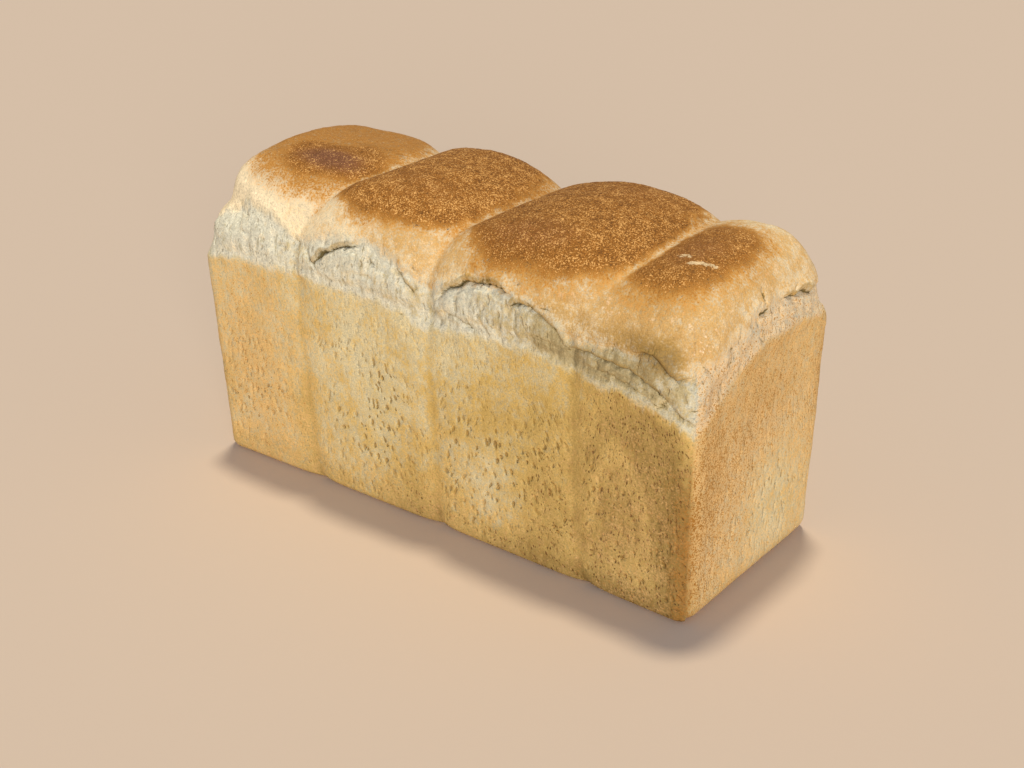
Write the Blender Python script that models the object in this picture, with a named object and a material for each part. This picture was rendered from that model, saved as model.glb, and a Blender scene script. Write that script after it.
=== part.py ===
"""Wholemeal tin loaf of four dough pieces, one solid, in metres with +Z up.

The loaf stands on its flat base with the origin at the middle of it. +X runs along the
loaf and -Y is the side whose crust has burst open the most. The lower body has the
tapered form of the tin. Above the rim the dough swells, tears into a pale band of
stretched dough, and closes in a crown that the joints between the pieces cut into four.
"""

import math

import bmesh
import bpy
import numpy as np
from mathutils import Vector, noise

MM = 0.001

# Tin that shaped the lower body
BASE_LENGTH = 262 * MM
BASE_WIDTH = 99 * MM
RIM_HEIGHT = 98.3 * MM
END_FLARE = 2.1 * MM
SIDE_FLARE = 2.6 * MM
TIN_CORNER = 8 * MM
SIDE_BASE_EDGE = 4 * MM
END_BASE_EDGE = 7 * MM
WAIST = 1.4 * MM

# Crown above the rim
CROWN_HEIGHT = 147 * MM
CROWN_SWELL = 2.0 * MM
SWELL_RISE = 12 * MM
CROWN_CORNER = 22 * MM
SIDE_SHOULDER = 27 * MM
NEAR_END_SHOULDER = 24 * MM
FAR_END_SHOULDER = 36 * MM
SHOULDER_DROP = 35 * MM
CROWN_SAG = 7.5 * MM

# Step below the crown on the -X end
FAR_STEP_HEIGHT = 126 * MM
FAR_STEP_RISE = 9 * MM
FAR_STEP_DEPTH = 5 * MM
FAR_STEP_START = -92 * MM
FAR_STEP_END = -118 * MM

# Four dough pieces, and the joints between them, which bow towards +X over the crown.
# A skew under 1 puts the bow's top nearer the -Y side. The strengths scale how deep each
# joint cuts the crown.
JOINTS = (-71.5 * MM, 3 * MM, 77 * MM)
JOINT_BOWS = (23.5 * MM, 8.5 * MM, 14.5 * MM)
JOINT_BOW_SKEWS = (0.92, 1.1, 0.6)
JOINT_SLANTS = (4 * MM, 6 * MM, 12 * MM)
JOINT_WANDER = 1.5 * MM
JOINT_HEIGHTS = tuple(h * MM for h in (0, 10, 80, 98, 110, 126, 147))
JOINT_DEPTHS = tuple(d * MM for d in (2.6, 1.2, 0.9, 1.6, 4.5, 7.0, 8.5))
JOINT_WIDTH_ON_WALL = 3 * MM
JOINT_WIDTH_ON_CROWN = 8 * MM
JOINT_ROUNDING = 1.2 * MM
JOINT_STRENGTHS = (0.68, 0.85, 0.6)

# Rise and fall of the crown's ridge from end to end
RIDGE_STATIONS = tuple(x * MM for x in (-95, -25, 15, 60, 100))
RIDGE_LIFTS = tuple(z * MM for z in (0.8, 2.0, -3.5, 1.0, -4.0))
RIDGE_BLEND = 24 * MM

# Band of stretched dough. Each row goes once round the loaf from the (-X, -Y) corner:
# the band's lower and upper line at a corner or joint, then at the middle of the arch
# that follows it
BAND_HEIGHTS = (
    (100, 116, 104, 128),
    (104, 118, 103, 126),
    (97, 113, 102, 123),
    (98, 111, 96, 113),
    (85, 107, 111, 122),
    (104, 115, 101, 119),
    (97, 112, 102, 122),
    (97, 112, 102, 122),
    (97, 112, 101, 119),
    (100, 113, 107, 121),
)
BAND_RECESS = 1.3 * MM
BAND_EDGE = 2.5 * MM
FIBRE_WIDTH = 4.5 * MM
FIBRE_LENGTH = 16 * MM
FIBRE_RELIEF = 0.7 * MM

# Tears in the crust as (along the face, height) in millimetres, each with the height of
# the lip above it and its own depth
SIDE_TEARS = (
    (((-61, 107), (-52, 118), (-28, 126)), 1.6, 2.2),
    (((-66, 117), (-56, 108)), 0.6, 1.4),
    (((-15, 120), (-8, 114), (-2, 107)), 0.8, 2.0),
    (((8, 106), (18, 119), (36, 123), (50, 119)), 2.4, 2.6),
    (((45, 111), (51, 119), (64, 116), (73, 105)), 1.5, 2.0),
    (((73, 105), (88, 107), (109, 103), (127, 92)), 1.4, 2.2),
    (((101, 110), (113, 114), (121, 108), (133, 108)), 3.0, 2.8),
)
END_TEARS = (
    (((-5, 129), (-6, 120)), 0.2, 1.2),
    (((-12, 121), (-1, 119)), 0.5, 1.4),
    (((3, 121), (20, 120), (36, 115)), 1.4, 1.8),
)
BACK_TEARS = (
    (((-106, 112), (-92, 118), (-72, 115)), 1.4, 2.0),
    (((-50, 108), (-34, 118), (-12, 113)), 1.8, 2.2),
    (((24, 110), (40, 119), (62, 114)), 1.6, 2.2),
    (((94, 108), (106, 112), (118, 110)), 1.4, 2.0),
)
TEAR_WIDTH = 2.0 * MM
LIP_REACH = 9 * MM
LIP_EDGE = 1.2 * MM
PATH_STEPS = 16

# Unevenness of the dough
SWELL_SIZE = 42 * MM
WALL_SWELL = 0.5 * MM
CROWN_UNEVENNESS = 1.4 * MM
LUMP_SIZE = 11 * MM
LUMP_RELIEF = 0.4 * MM

# Mesh
GRID_STEP = 1.8 * MM
CORE_INSET = 26 * MM
CORE_FLOOR = 12 * MM
CORE_DROP = 36 * MM
SEARCH_REACH = 70 * MM
SEARCH_STEPS = 26
MOST_TRIANGLES = 11800

CRUST_COLOUR = (0.62, 0.37, 0.15, 1.0)
CRUST_ROUGHNESS = 0.8


def clear_scene():
    for obj in list(bpy.data.objects):
        bpy.data.objects.remove(obj)


def smooth_step(low, high, value):
    t = np.clip((value - low) / (high - low), 0.0, 1.0)
    return t * t * (3.0 - 2.0 * t)


def box_grid():
    """A closed box of square cells as a bmesh, with the loaf's overall size."""
    grid = bmesh.new()
    bmesh.ops.create_cube(grid, size=1.0)
    for axis, extent in enumerate((BASE_LENGTH, BASE_WIDTH, CROWN_HEIGHT)):
        along = [
            edge
            for edge in grid.edges
            if abs((edge.verts[0].co - edge.verts[1].co)[axis]) > 0.5
        ]
        cuts = round(extent / GRID_STEP) - 1
        bmesh.ops.subdivide_edges(grid, edges=along, cuts=cuts, use_grid_fill=True)
    return grid


def start_points(grid):
    """The grid's vertices on the loaf's bounding box, as an array."""
    points = np.array([vertex.co[:] for vertex in grid.verts])
    points[:, 2] += 0.5
    return points * (BASE_LENGTH, BASE_WIDTH, CROWN_HEIGHT)


def rays_from_core(points):
    """Where each ray starts inside the loaf, and the way it points."""
    core_low = (
        CORE_INSET - BASE_LENGTH / 2,
        CORE_INSET - BASE_WIDTH / 2,
        CORE_FLOOR,
    )
    core_high = (
        BASE_LENGTH / 2 - CORE_INSET,
        BASE_WIDTH / 2 - CORE_INSET,
        CROWN_HEIGHT - CORE_DROP,
    )
    starts = np.clip(points, core_low, core_high)
    ways = points - starts
    return starts, ways / np.linalg.norm(ways, axis=1)[:, None]


def rounded_corner(first, second):
    """Joins two faces in a quarter ellipse. Both are 0 on the face and -1 one radius in."""
    u = np.maximum(first + 1.0, 0.0)
    v = np.maximum(second + 1.0, 0.0)
    flat = np.maximum(first, second)
    return np.where((u > 0) & (v > 0), np.hypot(u, v) - 1.0, flat)


def outside(points):
    """Above 0 outside the smooth loaf and below 0 inside it."""
    x, y, z = points.T
    rise = np.clip(z / RIM_HEIGHT, 0.0, 1.0)
    swell = smooth_step(RIM_HEIGHT, RIM_HEIGHT + SWELL_RISE, z)
    half_length = BASE_LENGTH / 2 + END_FLARE * rise + CROWN_SWELL * swell
    middle = 1.0 - (2 * x / BASE_LENGTH) ** 2
    waist = WAIST * np.clip(middle, 0, 1) * (1 - swell)
    half_width = BASE_WIDTH / 2 + SIDE_FLARE * rise + CROWN_SWELL * swell - waist
    corner = TIN_CORNER + (CROWN_CORNER - TIN_CORNER) * swell
    past_x = np.abs(x) - half_length + corner
    past_y = np.abs(y) - half_width + corner
    beyond = np.hypot(np.maximum(past_x, 0), np.maximum(past_y, 0))
    side = beyond + np.minimum(np.maximum(past_x, past_y), 0) - corner
    top = z - crown_top(x, y)
    end_shoulder = np.where(x > 0, NEAR_END_SHOULDER, FAR_END_SHOULDER)
    towards_end = smooth_step(0.0, end_shoulder, past_x - corner + end_shoulder)
    shoulder = SIDE_SHOULDER + (end_shoulder - SIDE_SHOULDER) * towards_end
    crown = rounded_corner(side / shoulder, top / SHOULDER_DROP)
    edge = np.where(past_x > past_y, END_BASE_EDGE, SIDE_BASE_EDGE)
    base = rounded_corner(side / edge, -z / edge)
    return np.maximum(crown, base)


def crown_top(x, y):
    """Height of the crown between its shoulders, before the joints cut into it."""
    nearness = np.exp(-(((x[:, None] - RIDGE_STATIONS) / RIDGE_BLEND) ** 2))
    lift = (nearness * RIDGE_LIFTS).sum(axis=1) / nearness.sum(axis=1)
    sag = CROWN_SAG * (2 * y / BASE_WIDTH) ** 2
    return CROWN_HEIGHT + lift - sag


def cast_onto_loaf(starts, ways):
    """The points where the rays leave the smooth loaf, by halving steps."""
    near = np.zeros(len(starts))
    far = np.full(len(starts), SEARCH_REACH)
    for _ in range(SEARCH_STEPS):
        middle = (near + far) / 2
        out = outside(starts + ways * middle[:, None]) > 0
        far = np.where(out, middle, far)
        near = np.where(out, near, middle)
    return starts + ways * near[:, None]


def noise_field(points, size, offset=0.0):
    """Smooth noise from about -1 to 1 with features of the given size along each axis."""
    scaled = points / np.asarray(size)
    return np.array([noise.noise(Vector(p) + Vector((offset, 0, 0))) for p in scaled])


def way_round(points):
    """Distance round the loaf from the middle of the -Y side, rising towards +X."""
    x, y = points[:, 0], points[:, 1]
    half_length, half_width = BASE_LENGTH / 2, BASE_WIDTH / 2
    on_end = np.abs(x) - half_length > np.abs(y) - half_width
    right = half_length + half_width + y
    back = 2 * half_length + 2 * half_width - x
    left = 3 * half_length + 3 * half_width - y
    side = np.where(y < 0, x, back)
    return np.where(on_end, np.where(x > 0, right, left), side)


def band_lines(distance):
    """Heights of the stretched band's lower and upper lines at a distance round the loaf.

    Both lines are arches, round at the top and sharp where they meet at joints."""
    half, girth = BASE_LENGTH / 2, 2 * (BASE_LENGTH + BASE_WIDTH)
    back = [girth / 2 - joint for joint in reversed(JOINTS)]
    feet = [-half, *JOINTS, half, half + BASE_WIDTH, *back, girth / 2 + half, girth - half]
    distance = np.where(distance > feet[-1], distance - girth, distance)
    low, high = np.zeros_like(distance), np.zeros_like(distance)
    for index, (start, end) in enumerate(zip(feet, feet[1:])):
        row = np.array(BAND_HEIGHTS[index]) * MM
        following = np.array(BAND_HEIGHTS[(index + 1) % len(BAND_HEIGHTS)]) * MM
        share = (distance - start) / (end - start)
        here = (share >= 0) & (share <= 1)
        arch = np.sin(math.pi * share[here])
        foot = np.where(share[here] < 0.5, 0, 1)
        for line, which in ((low, 0), (high, 1)):
            base = np.choose(foot, (row[which], following[which]))
            line[here] = base + (row[which + 2] - base) * arch
    return low, high


def joint_grooves(points):
    """Depth of the grooves between the dough pieces."""
    x, y, z = points.T
    across = np.clip(y / BASE_WIDTH + 0.5, 0, 1)
    wander = JOINT_WANDER * noise_field(points, 30 * MM, offset=7.0)
    depth = np.interp(z, JOINT_HEIGHTS, JOINT_DEPTHS)
    on_crown = smooth_step(RIM_HEIGHT, RIM_HEIGHT + SHOULDER_DROP / 2, z)
    width = JOINT_WIDTH_ON_WALL + (JOINT_WIDTH_ON_CROWN - JOINT_WIDTH_ON_WALL) * on_crown
    groove = np.zeros(len(points))
    for index, strength in enumerate(JOINT_STRENGTHS):
        bow = JOINT_BOWS[index] * np.sin(math.pi * across ** JOINT_BOW_SKEWS[index])
        course = JOINTS[index] + wander + bow + JOINT_SLANTS[index] * across**2
        full = depth * (1 + (strength - 1) * on_crown)
        aside = np.hypot(x - course, JOINT_ROUNDING) - JOINT_ROUNDING
        groove = np.maximum(groove, full * np.exp(-aside / width))
    return groove


def far_step(points):
    """Depth of the step that sets the crown back from the shoulder on the -X end."""
    x, _, z = points.T
    across = smooth_step(FAR_STEP_START, FAR_STEP_END, x)
    return FAR_STEP_DEPTH * across * np.exp(-(((z - FAR_STEP_HEIGHT) / FAR_STEP_RISE) ** 2))


def band_relief(points):
    """The stretched band lies a little behind the crown and has upright fibres."""
    low, high = band_lines(way_round(points))
    z = points[:, 2]
    inside = smooth_step(low - BAND_EDGE, low + BAND_EDGE, z)
    inside *= 1 - smooth_step(high - BAND_EDGE, high + BAND_EDGE, z)
    fibres = noise_field(points, (FIBRE_WIDTH, FIBRE_WIDTH, FIBRE_LENGTH), offset=3.0)
    return inside * (FIBRE_RELIEF * fibres - BAND_RECESS)


def smooth_path(corners):
    """Points on a smooth curve through the corners of a tear."""
    knots = np.array(corners) * MM
    bend = np.polyfit(np.linspace(0, 1, len(knots)), knots, len(knots) - 1)
    share = np.linspace(0, 1, PATH_STEPS)
    return np.stack([np.polyval(bend[:, 0], share), np.polyval(bend[:, 1], share)], axis=1)


def tear_relief(flat, corners, lip, depth):
    """Relief of one tear over points given as (along the face, height)."""
    path = smooth_path(corners)
    starts, legs = path[:-1], np.diff(path, axis=0)
    offset = flat[:, None, :] - starts
    share = np.clip((offset * legs).sum(2) / (legs**2).sum(1), 0, 1)
    gap = offset - legs * share[:, :, None]
    nearest = np.hypot(gap[:, :, 0], gap[:, :, 1]).argmin(1)
    row = np.arange(len(flat))
    gap, leg = gap[row, nearest], legs[nearest]
    distance = np.hypot(gap[:, 0], gap[:, 1])
    side = np.sign(leg[:, 0] * gap[:, 1] - leg[:, 1] * gap[:, 0])
    above = smooth_step(-LIP_EDGE, LIP_EDGE, distance * side)
    along = nearest + share[row, nearest]
    fade = smooth_step(0, len(legs) / 4, np.minimum(along, len(legs) - along))
    overhang = lip * MM * np.exp(-distance / LIP_REACH) * above
    cut = depth * MM * np.exp(-((distance / TEAR_WIDTH) ** 2))
    return fade * (overhang - cut)


def tears(points):
    """Relief of all the tears in the crust."""
    x, y, z = points.T
    distance = way_round(points)
    half_length, half_width = BASE_LENGTH / 2, BASE_WIDTH / 2
    on_side = distance <= half_length + TIN_CORNER
    on_end = (np.abs(distance - half_length - half_width) < half_width) & (x > 0)
    on_back = (distance > half_length + BASE_WIDTH) & (y > 0)
    relief = np.zeros(len(points))
    for where, along, table in (
        (on_side, distance, SIDE_TEARS),
        (on_end, y, END_TEARS),
        (on_back, x, BACK_TEARS),
    ):
        chosen = where & (z > RIM_HEIGHT - 2 * TIN_CORNER)
        flat = np.stack([along[chosen], z[chosen]], axis=1)
        for corners, lip, depth in table:
            relief[chosen] += tear_relief(flat, corners, lip, depth)
    return relief


def unevenness(points):
    """Slow swells of the dough, stronger on the free crown than against the tin."""
    z = points[:, 2]
    free = smooth_step(RIM_HEIGHT - 10 * MM, RIM_HEIGHT + 20 * MM, z)
    swell = noise_field(points, SWELL_SIZE, offset=11.0)
    lumps = noise_field(points, LUMP_SIZE, offset=23.0)
    return swell * (WALL_SWELL + (CROWN_UNEVENNESS - WALL_SWELL) * free) + lumps * LUMP_RELIEF


def shaped_points(points):
    """The box grid's points moved onto the loaf with all its relief."""
    starts, ways = rays_from_core(points)
    surface = cast_onto_loaf(starts, ways)
    relief = unevenness(surface) + band_relief(surface) + tears(surface)
    relief -= joint_grooves(surface) + far_step(surface)
    off_the_base = smooth_step(0.0, END_BASE_EDGE, surface[:, 2])
    return surface + ways * (relief * off_the_base)[:, None]


def centre_on_base(points):
    """Puts the origin under the middle of the loaf's bounding box."""
    low, high = points.min(axis=0), points.max(axis=0)
    return points - ((low[0] + high[0]) / 2, (low[1] + high[1]) / 2, low[2])


def crust_material():
    material = bpy.data.materials.new("wholemeal_crust")
    material.use_nodes = True
    shader = material.node_tree.nodes["Principled BSDF"]
    shader.inputs["Base Color"].default_value = CRUST_COLOUR
    shader.inputs["Roughness"].default_value = CRUST_ROUGHNESS
    shader.inputs["Metallic"].default_value = 0.0
    return material


def build_loaf(collection):
    grid = box_grid()
    points = centre_on_base(shaped_points(start_points(grid)))
    for vertex, point in zip(grid.verts, points):
        vertex.co = point
    mesh = bpy.data.meshes.new("loaf")
    grid.to_mesh(mesh)
    grid.free()
    mesh.shade_smooth()
    mesh.materials.append(crust_material())
    loaf = bpy.data.objects.new("loaf", mesh)
    collection.objects.link(loaf)
    thin_out = loaf.modifiers.new("Decimate", "DECIMATE")
    thin_out.ratio = MOST_TRIANGLES / (2 * len(mesh.polygons))
    return loaf


def main():
    clear_scene()
    collection = bpy.data.collections.new("wholemeal_loaf")
    bpy.context.scene.collection.children.link(collection)
    build_loaf(collection)


main()
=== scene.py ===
import math

import bpy
import numpy as np
from mathutils import Matrix, Vector, noise


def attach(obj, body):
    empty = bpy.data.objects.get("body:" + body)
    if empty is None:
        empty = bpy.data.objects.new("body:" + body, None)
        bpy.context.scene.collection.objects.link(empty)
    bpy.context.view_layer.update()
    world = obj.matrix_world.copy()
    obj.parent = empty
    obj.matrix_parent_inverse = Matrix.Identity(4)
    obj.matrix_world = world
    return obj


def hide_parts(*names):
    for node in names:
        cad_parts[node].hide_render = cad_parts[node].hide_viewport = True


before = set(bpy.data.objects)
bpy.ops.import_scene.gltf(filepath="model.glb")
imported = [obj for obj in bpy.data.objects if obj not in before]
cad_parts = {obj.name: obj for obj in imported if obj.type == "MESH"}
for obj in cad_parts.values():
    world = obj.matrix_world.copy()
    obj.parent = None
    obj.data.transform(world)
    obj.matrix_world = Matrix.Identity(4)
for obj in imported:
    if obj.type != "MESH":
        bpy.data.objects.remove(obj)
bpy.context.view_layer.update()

mm = 0.001

# The loaf's form, as the tin and the oven left it. +X runs along it, -Y is the torn side.
loaf = {
    "baseLength": 262 * mm,
    "baseWidth": 99 * mm,
    "rimHeight": 98.3 * mm,
    "endFlare": 2.1 * mm,
    "sideFlare": 2.6 * mm,
    "tinCorner": 8 * mm,
    "cornerBlend": 2 * mm,  # either side of an upright edge, where two finishes mix
    "sideBaseEdge": 4 * mm,
    "endBaseEdge": 7 * mm,
    "waist": 1.4 * mm,
    "crownHeight": 147 * mm,
    "crownSwell": 2.0 * mm,
    "swellRise": 12 * mm,
    "crownCorner": 22 * mm,
    "sideShoulder": 27 * mm,
    "nearEndShoulder": 24 * mm,
    "farEndShoulder": 36 * mm,
    "shoulderDrop": 35 * mm,
    "crownSag": 7.5 * mm,
    "farStepHeight": 126 * mm,
    "farStepRise": 9 * mm,
    "farStepDepth": 5 * mm,
    "farStepStart": -92 * mm,
    "farStepEnd": -118 * mm,
    "ridgeStations": (-95, -25, 15, 60, 100),  # along the loaf, mm
    "ridgeLifts": (0.8, 2.0, -3.5, 1.0, -4.0),  # mm
    "ridgeBlend": 24 * mm,
    "swellSize": 42 * mm,
    "wallSwell": 0.5 * mm,
    "crownUnevenness": 1.4 * mm,
    "unevenFrom": (-10 * mm, 20 * mm),  # above the rim, where that starts and is full
    "lumpSize": 11 * mm,
    "lumpRelief": 0.4 * mm,
    "flankLimit": 52.3 * mm,
    "flankPress": 0.55,  # how much of what stands out past that limit is pressed back
}
halfLong, halfWide = loaf["baseLength"] / 2, loaf["baseWidth"] / 2
girth = 2 * (loaf["baseLength"] + loaf["baseWidth"])

# Where in the endless noise each pattern is read, so that no two of them agree
noiseAt = {
    "fibres": 3, "wander": 7, "swell": 11, "lumps": 23, "wideBrown": 31, "narrowBrown": 33,
    "fine": 35, "broad": 36, "tone": 41, "holes": 47, "ragged": 61, "gapWidth": 71,
}


def smoothStep(low, high, value):
    t = np.clip((value - low) / (high - low), 0.0, 1.0)
    return t * t * (3.0 - 2.0 * t)


def bell(value):
    return np.exp(-(value**2))


def fadeFrom(line, fade, value):
    # 0 to 1 as the value goes from fade[0] to fade[1] past the line
    return smoothStep(line + fade[0], line + fade[1], value)


def noiseField(points, size, use, step=0):
    # smooth noise from about -1 to 1, with features of that size along each axis
    scaled = points / np.asarray(size) + (noiseAt[use] + step, 0, 0)
    return np.array([noise.noise(p) for p in scaled.tolist()])


# Mesh of the crust: finer where the dough is torn
crustMesh = {
    "step": 0.86 * mm,
    "heights": (0, 90, 130, 147),  # mm
    "heightSteps": (0.92, 0.62, 0.9),  # mm between those heights
    "mostTriangles": 197000,
    "coreInset": 26 * mm,
    "coreFloor": 12 * mm,
    "coreDrop": 36 * mm,
    "searchReach": 70 * mm,
    "searchSteps": 26,
}


def latticeLines():
    lengthLines = round(loaf["baseLength"] / crustMesh["step"])
    widthLines = round(loaf["baseWidth"] / crustMesh["step"])
    heights, steps = crustMesh["heights"], crustMesh["heightSteps"]
    upright = [np.zeros(1)]
    for low, high, step in zip(heights, heights[1:], steps):
        upright.append(np.linspace(low, high, round((high - low) / step) + 1)[1:] * mm)
    along = np.linspace(-0.5, 0.5, lengthLines + 1) * loaf["baseLength"]
    across = np.linspace(-0.5, 0.5, widthLines + 1) * loaf["baseWidth"]
    return along, across, np.concatenate(upright)


def boxGrid():
    # the six sides of a box in small squares, with shared corners: its points and faces
    lines = latticeLines()
    counts = [len(line) - 1 for line in lines]
    nearTurn, farTurn = ((0, 0), (0, 1), (1, 1), (1, 0)), ((0, 0), (1, 0), (1, 1), (0, 1))
    squares = []
    for axis, (u, v) in enumerate(((1, 2), (2, 0), (0, 1))):
        a, b = np.meshgrid(np.arange(counts[u]), np.arange(counts[v]), indexing="ij")
        for end, turn in ((0, nearTurn), (counts[axis], farTurn)):
            corner = np.zeros(a.shape + (4, 3), int)
            corner[..., axis] = end
            for index, (du, dv) in enumerate(turn):
                corner[..., index, u] = a + du
                corner[..., index, v] = b + dv
            squares.append(corner.reshape(-1, 4, 3))
    squares = np.concatenate(squares)
    stride = np.array((1, counts[0] + 1, (counts[0] + 1) * (counts[1] + 1)))
    keys, faces = np.unique(squares @ stride, return_inverse=True)
    upright, rest = keys // stride[2], keys % stride[2]
    across, along = rest // stride[1], rest % stride[1]
    points = np.stack([lines[0][along], lines[1][across], lines[2][upright]], axis=1)
    return points, faces.reshape(-1, 4)


def raysFromCore(points):
    inset = crustMesh["coreInset"]
    low = (inset - halfLong, inset - halfWide, crustMesh["coreFloor"])
    high = (-low[0], -low[1], loaf["crownHeight"] - crustMesh["coreDrop"])
    starts = np.clip(points, low, high)
    ways = points - starts
    return starts, ways / np.linalg.norm(ways, axis=1)[:, None]


def roundedCorner(first, second):
    # joins two faces in a quarter ellipse: both are 0 on the face and -1 one radius in
    u, v = np.maximum(first + 1.0, 0.0), np.maximum(second + 1.0, 0.0)
    return np.where((u > 0) & (v > 0), np.hypot(u, v) - 1.0, np.maximum(first, second))


def crownTop(x, y):
    away = (x[:, None] - np.array(loaf["ridgeStations"]) * mm) / loaf["ridgeBlend"]
    nearness = bell(away)
    lift = (nearness * np.array(loaf["ridgeLifts"]) * mm).sum(axis=1) / nearness.sum(axis=1)
    return loaf["crownHeight"] + lift - loaf["crownSag"] * (2 * y / loaf["baseWidth"]) ** 2


def outside(points):
    # above 0 outside the smooth loaf and below 0 inside it
    x, y, z = points.T
    rise = np.clip(z / loaf["rimHeight"], 0.0, 1.0)
    swell = smoothStep(loaf["rimHeight"], loaf["rimHeight"] + loaf["swellRise"], z)
    proud = loaf["crownSwell"] * swell
    halfLength = halfLong + loaf["endFlare"] * rise + proud
    waist = loaf["waist"] * np.clip(1.0 - (2 * x / loaf["baseLength"]) ** 2, 0, 1) * (1 - swell)
    halfWidth = halfWide + loaf["sideFlare"] * rise + proud - waist
    corner = loaf["tinCorner"] + (loaf["crownCorner"] - loaf["tinCorner"]) * swell
    pastX = np.abs(x) - halfLength + corner
    pastY = np.abs(y) - halfWidth + corner
    beyond = np.hypot(np.maximum(pastX, 0), np.maximum(pastY, 0))
    side = beyond + np.minimum(np.maximum(pastX, pastY), 0) - corner
    endShoulder = np.where(x > 0, loaf["nearEndShoulder"], loaf["farEndShoulder"])
    towardsEnd = smoothStep(0.0, endShoulder, pastX - corner + endShoulder)
    shoulder = loaf["sideShoulder"] + (endShoulder - loaf["sideShoulder"]) * towardsEnd
    crown = roundedCorner(side / shoulder, (z - crownTop(x, y)) / loaf["shoulderDrop"])
    edge = np.where(pastX > pastY, loaf["endBaseEdge"], loaf["sideBaseEdge"])
    return np.maximum(crown, roundedCorner(side / edge, -z / edge))


def castOntoLoaf(starts, ways):
    near, far = np.zeros(len(starts)), np.full(len(starts), crustMesh["searchReach"])
    for _ in range(crustMesh["searchSteps"]):
        middle = (near + far) / 2
        out = outside(starts + ways * middle[:, None]) > 0
        far = np.where(out, middle, far)
        near = np.where(out, near, middle)
    return starts + ways * near[:, None]


# Joints between the four dough pieces
joints = {
    "places": (-71.5 * mm, 3 * mm, 77 * mm),
    "bows": (23.5 * mm, 8.5 * mm, 14.5 * mm),
    "bowSkews": (0.92, 1.1, 0.6),
    "slants": (4 * mm, 6 * mm, 12 * mm),
    "wander": 1.5 * mm,
    "wanderSize": 30 * mm,
    "heights": (0, 10, 80, 98, 110, 126, 147),  # mm
    "depths": (2.4, 1.0, 0.7, 1.4, 4.5, 7.0, 8.5),  # mm at those heights
    "widthOnWall": 3.5 * mm,
    "widthOnCrown": 8 * mm,
    "rounding": 1.2 * mm,
    "roundingOnWall": 1.8 * mm,
    "strengths": (0.68, 0.85, 0.6),
    "footReach": 8 * mm,
}

# Band of stretched dough between tin and crown. Each row goes once round the loaf from
# the (-X, -Y) corner: lower and upper line at a corner or joint, then at the next arch.
band = {
    "heights": (
        (100, 116, 104, 128),
        (104, 118, 103, 126),
        (97, 113, 102, 123),
        (98, 111, 96, 113),
        (85, 107, 111, 122),
        (104, 115, 101, 119),
        (97, 112, 102, 122),
        (97, 112, 102, 122),
        (97, 112, 101, 119),
        (100, 113, 107, 121),
    ),
    "recess": 1.3 * mm,
    "edge": 2.5 * mm,
    "fibreWidth": 4.5 * mm,
    "fibreLength": 16 * mm,
    "fibreRelief": 0.7 * mm,
    # along, height, half length, half height and amount: where it's full of creases, with painted
    # shade in them, and where painted shade darkens it
    "creased": ((36, 108, 36, 16, 0.15), (-30, 110, 30, 14, 0.07)),
    "dun": (
        (102, 100, 36, 40, 1.25), (64, 106, 16, 20, 0.7), (40, 112, 10, 10, 0.45),
        (70, 97, 11, 8, 0.6), (-73, 108, 8, 14, 0.3), (0, 106, 12, 14, 0.35),
        (-30, 112, 26, 12, 0.2),
    ),
    "shift": (2.8, 1.4),  # mm that broad and fine noise shift its colours by
    "wallFade": (-6 * mm, 3 * mm),  # past its lower line, where the wall's colours give way
    "bandFade": (-5 * mm, 7 * mm),  # past its upper line, where its own colours end
    "crownFade": (-5 * mm, 6 * mm),  # and where the crown's begin
}


def wayRound(points):
    # distance round the loaf from the middle of the -Y side, rising towards +X
    x, y = points[:, 0], points[:, 1]
    onEnd = np.abs(x) - halfLong > np.abs(y) - halfWide
    right = halfLong + halfWide + y
    back = 2 * halfLong + 2 * halfWide - x
    left = 3 * halfLong + 3 * halfWide - y
    return np.where(onEnd, np.where(x > 0, right, left), np.where(y < 0, x, back))


def bandLines(distance):
    # lower and upper line of the stretched band: arches that meet sharply at the joints
    back = [girth / 2 - place for place in reversed(joints["places"])]
    feet = [-halfLong, *joints["places"], halfLong, halfLong + loaf["baseWidth"]]
    feet += [*back, girth / 2 + halfLong, girth - halfLong]
    distance = np.where(distance > feet[-1], distance - girth, distance)
    low, high = np.zeros_like(distance), np.zeros_like(distance)
    rows = np.array(band["heights"]) * mm
    for index, (start, end) in enumerate(zip(feet, feet[1:])):
        row, following = rows[index], rows[(index + 1) % len(rows)]
        share = (distance - start) / (end - start)
        here = (share >= 0) & (share <= 1)
        arch = np.sin(math.pi * share[here])
        for line, which in ((low, 0), (high, 1)):
            base = np.where(share[here] < 0.5, row[which], following[which])
            line[here] = base + (row[which + 2] - base) * arch
    return low, high


def jointCourses(points, wander):
    across = np.clip(points[:, 1] / loaf["baseWidth"] + 0.5, 0, 1)
    rows = zip(joints["places"], joints["bows"], joints["bowSkews"], joints["slants"])
    courses = []
    for place, bow, skew, slant in rows:
        bowed = bow * np.sin(math.pi * across**skew) + slant * across**2
        courses.append(place + joints["wander"] * wander + bowed)
    return courses


def jointGrooves(points, courses):
    x, z = points[:, 0], points[:, 2]
    depth = np.interp(z, np.array(joints["heights"]) * mm, np.array(joints["depths"]) * mm)
    onCrown = smoothStep(loaf["rimHeight"], loaf["rimHeight"] + loaf["shoulderDrop"] / 2, z)
    width = joints["widthOnWall"] + (joints["widthOnCrown"] - joints["widthOnWall"]) * onCrown
    rounding = joints["roundingOnWall"] + (joints["rounding"] - joints["roundingOnWall"]) * onCrown
    groove = np.zeros(len(points))
    for course, strength in zip(courses, joints["strengths"]):
        aside = np.hypot(x - course, rounding) - rounding
        strong = depth * (1 + (strength - 1) * onCrown)
        groove = np.maximum(groove, strong * np.exp(-aside / width))
    return groove


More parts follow.
